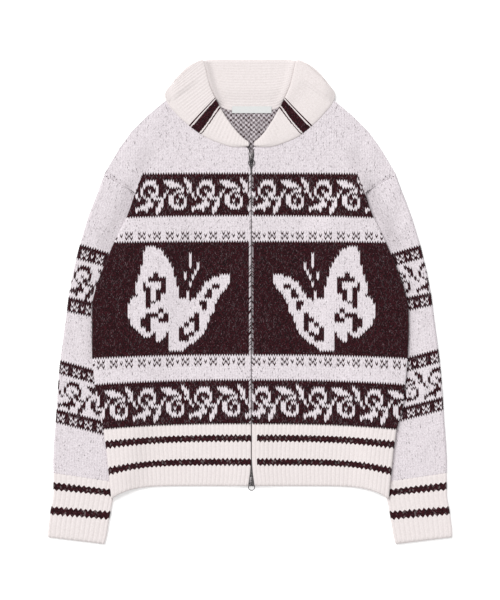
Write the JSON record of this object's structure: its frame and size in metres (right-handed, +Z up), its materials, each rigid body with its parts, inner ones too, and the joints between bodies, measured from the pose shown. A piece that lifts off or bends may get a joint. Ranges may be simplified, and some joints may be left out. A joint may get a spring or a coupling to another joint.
{
  "type": "cowichan cardigan",
  "caption": "Zip-up jacquard knit cardigan with a ridged shawl collar, dropped sleeves and ribbed hem and cuffs, laid flat on its back.",
  "frame": {"origin": "middle of the bounding box, on the surface that the cardigan lies on", "axes": "+X across the chest towards the wearer's left side, +Y up the body towards the collar, +Z up from the surface to the front of the garment"},
  "size_m": [0.6676, 0.7992, 0.0174],
  "materials": {
    "jacquard_knit": "brushed jacquard knit",
    "rib_knit": "brushed rib knit",
    "woven_label": "plain satin weave",
    "zip_tape": "woven tape",
    "zip_metal": "dark antique metal"
  },
  "bodies": {
    "garment": {"back_panel": "jacquard_knit", "front_left": "jacquard_knit", "front_right": "jacquard_knit", "sleeve_left": "jacquard_knit", "sleeve_right": "jacquard_knit", "hem_back": "rib_knit", "hem_front_left": "rib_knit", "hem_front_right": "rib_knit", "cuff_left": "rib_knit", "cuff_right": "rib_knit", "collar_back": "rib_knit", "collar_left": "rib_knit", "collar_right": "rib_knit", "neck_label": "woven_label", "zip_tape_left": "zip_tape", "zip_tape_right": "zip_tape", "zip_chain": "zip_metal", "slider_top": "zip_metal", "slider_bottom": "zip_metal"},
    "pull_top": {"pull_ring_top": "zip_metal"},
    "pull_bottom": {"pull_ring_bottom": "zip_metal"}
  },
  "joints": [
    {"name": "pull_top_hinge", "type": "hinge", "parent": "garment", "child": "pull_top", "pos_m": [0.0025, 0.234, 0.0106], "axis": [-1, 0, 0], "range_deg": [0, 150]},
    {"name": "pull_bottom_hinge", "type": "hinge", "parent": "garment", "child": "pull_bottom", "pos_m": [0.0025, -0.3005, 0.0106], "axis": [-1, 0, 0], "range_deg": [0, 150]}
  ]
}
